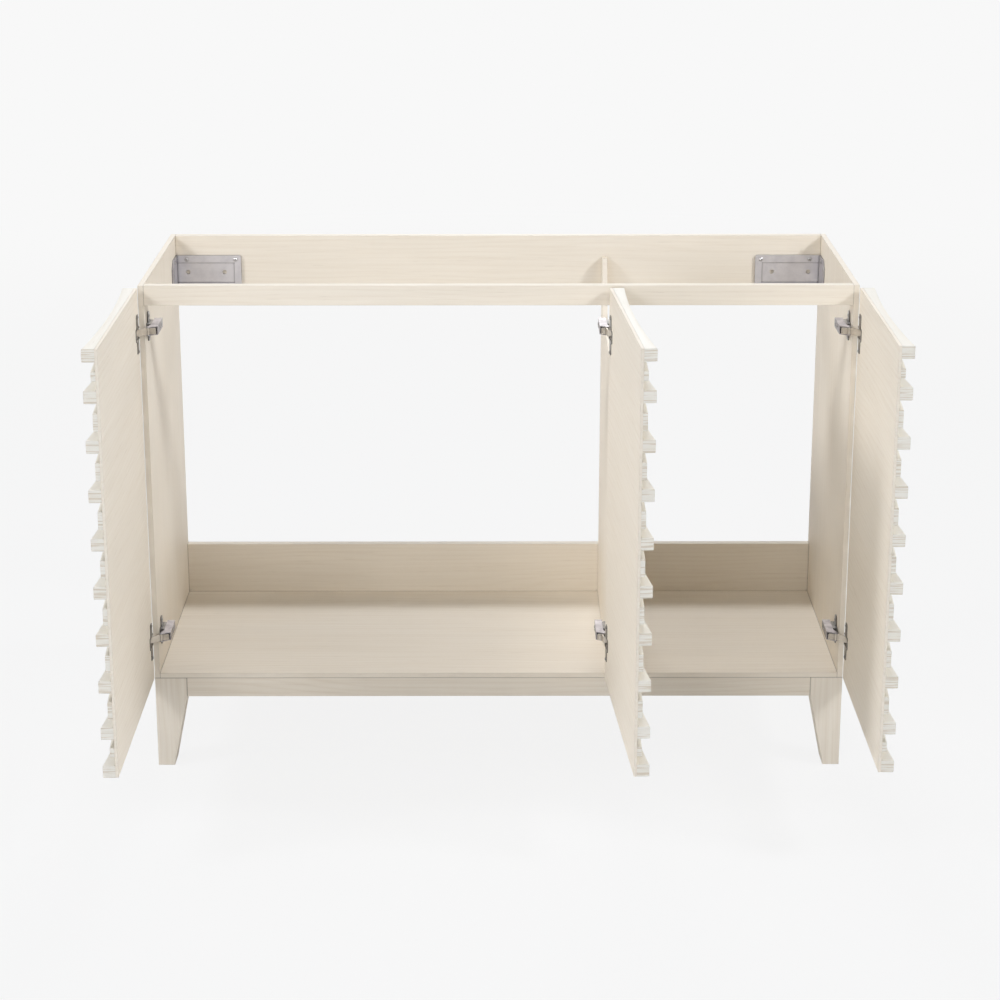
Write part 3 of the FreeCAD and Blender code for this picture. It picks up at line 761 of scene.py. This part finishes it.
floor_material, floor_tree = start_material("pale_floor")
from_object = add_node(floor_tree, "ShaderNodeVectorMath", {"operation": "LENGTH"},
                       stretched(floor_tree, (1.0, 1.0, 1.0)), output="Value")
glow_share = BACKDROP_NEAR + from_object.step_up(1.0, 5.0) * (1.0 - BACKDROP_NEAR)
matt = add_node(floor_tree, "ShaderNodeBsdfDiffuse", None, Color=mixed(
    floor_tree, linear(240, 240, 240), linear(236, 236, 236),
    noise(floor_tree, (3.0, 3.0, 3.0), 2.0)))
glow = add_node(floor_tree, "ShaderNodeEmission", None, Color=BACKDROP, Strength=1.0)
finish_material(floor_tree, add_node(floor_tree, "ShaderNodeMixShader", None,
                                     directly_seen(floor_tree) * glow_share, matt, glow))
floor_mesh = bpy.data.meshes.new("floor")
disc = bmesh.new()
bmesh.ops.create_circle(disc, cap_ends=True, segments=96, radius=FLOOR_RADIUS)
disc.to_mesh(floor_mesh)
disc.free()
floor_mesh.materials.append(floor_material)
add_object("floor", floor_mesh)

world = bpy.data.worlds.new("studio")
bpy.context.scene.world = world
world.use_nodes = True
sky = world.node_tree
sky.nodes.clear()
dim = add_node(sky, "ShaderNodeBackground", None, Color=(1.0, 1.0, 1.0, 1.0),
               Strength=SKY_STRENGTH)
white = add_node(sky, "ShaderNodeBackground", None, Color=BACKDROP, Strength=1.0)
sky_out = sky.nodes.new("ShaderNodeOutputWorld")
sky.links.new(add_node(sky, "ShaderNodeMixShader", None, directly_seen(sky), dim, white).socket,
              sky_out.inputs["Surface"])

# ---------------------------------------------------------------- lamps
# Discs that all face the middle of the carcass: place, width in metres and power in watts.
AIM = Vector((0.0, 0.0, 0.45))
DAYLIGHT = (0.98, 1.0, 1.04)
LAMPS = {
    "back_top_light": ((0.0, 2.8, 3.0), 1.2, 53.0),
    "over_front_light": ((0.0, -1.2, 3.6), 1.8, 6.0),
    "left_low_light": ((-1.5, -4.0, 1.2), 1.8, 39.0),
    "left_top_light": ((-2.8, -1.2, 2.8), 0.9, 56.0),
    "left_high_light": ((-2.2, 0.2, 3.4), 1.8, 13.0),
    "right_light": ((3.2, -0.4, 1.2), 1.8, 9.0),
    "right_front_light": ((2.6, -2.8, 2.2), 1.8, 16.0),
    "right_top_light": ((2.8, -1.2, 2.8), 0.7, 60.0),
}
for name, (place, width, power) in LAMPS.items():
    light = bpy.data.lights.new(name, "AREA")
    light.shape = "DISK"
    light.size = width
    light.energy = power
    light.color = DAYLIGHT
    lamp = add_object(name, light)
    lamp.location = place
    lamp.rotation_euler = (AIM - Vector(place)).to_track_quat("-Z", "Y").to_euler()

# ---------------------------------------------------------------- camera
# Its tilt is radians below the horizon, and its turn is radians to the right.
CAMERA_PLACE = (-0.008, -3.742, 1.727)
CAMERA_TILT = 0.285
CAMERA_TURN = 0.0027
camera_data = bpy.data.cameras.new("camera")
camera_data.sensor_width = 36.0
camera_data.lens = 83.4
camera_data.shift_y = -0.08
camera_data.clip_end = 100.0
camera = add_object("camera", camera_data)
camera.location = CAMERA_PLACE
camera.rotation_euler = (math.radians(90) - CAMERA_TILT, 0.0, -CAMERA_TURN)
bpy.context.scene.camera = camera
bpy.context.scene.view_settings.view_transform = "Standard"
